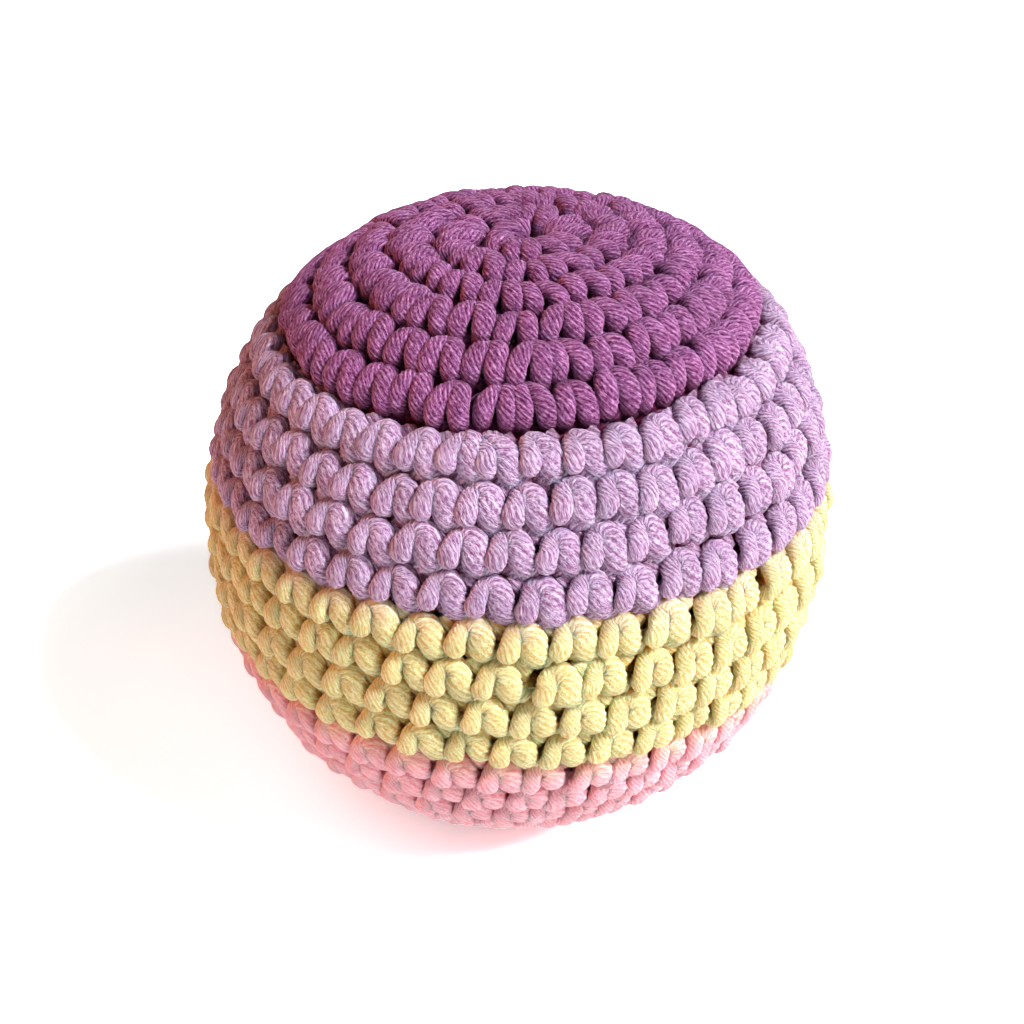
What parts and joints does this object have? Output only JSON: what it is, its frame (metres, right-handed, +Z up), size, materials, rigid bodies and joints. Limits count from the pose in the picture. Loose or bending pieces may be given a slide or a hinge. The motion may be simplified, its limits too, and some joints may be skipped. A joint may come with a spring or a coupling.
{
  "type": "footbag",
  "caption": "Soft round footbag crocheted in one spiral of purple, lilac, yellow and pink rounds over a tied liner of pellets, with a small flat to rest on.",
  "frame": {"origin": "centre of the small flat that the bag rests on, at the drawn-up end of the crochet", "axes": "+Z up through the starting ring at the top; +Y points to the back, where each round starts; seen from above the rounds run anticlockwise"},
  "size_m": [0.057, 0.0568, 0.0583],
  "materials": {
    "purple_yarn": "soft plied cotton yarn, matt and slightly fuzzy",
    "lilac_yarn": "soft plied cotton yarn, matt and slightly fuzzy",
    "yellow_yarn": "soft plied cotton yarn, matt and slightly fuzzy",
    "pink_yarn": "soft plied cotton yarn, matt and slightly fuzzy",
    "liner_cloth": "thin plain woven cotton",
    "tie_thread": "waxed cotton thread",
    "pellets": "translucent moulded plastic pellets"
  },
  "bodies": {
    "root": {"starting_ring": "purple_yarn", "purple_round_1": "purple_yarn", "purple_round_2": "purple_yarn", "purple_round_3": "purple_yarn", "purple_round_4": "purple_yarn", "purple_round_5": "purple_yarn", "purple_round_6": "purple_yarn", "purple_lilac_join_tail": "lilac_yarn", "lilac_round_1": "lilac_yarn", "lilac_round_2": "lilac_yarn", "lilac_round_3": "lilac_yarn", "lilac_round_4": "lilac_yarn", "lilac_yellow_join_tail": "yellow_yarn", "yellow_round_1": "yellow_yarn", "yellow_round_2": "yellow_yarn", "yellow_round_3": "yellow_yarn", "yellow_round_4": "yellow_yarn", "yellow_pink_join_tail": "pink_yarn", "pink_round_1": "pink_yarn", "pink_round_2": "pink_yarn", "pink_round_3": "pink_yarn", "pink_round_4": "pink_yarn", "pink_round_5": "pink_yarn", "pink_round_6": "pink_yarn", "pink_round_7": "pink_yarn", "pink_round_8": "pink_yarn", "pink_round_9": "pink_yarn", "closing_knot": "pink_yarn", "liner_bag": "liner_cloth", "liner_tie": "tie_thread", "pellet_filling": "pellets"}
  },
  "joints": []
}
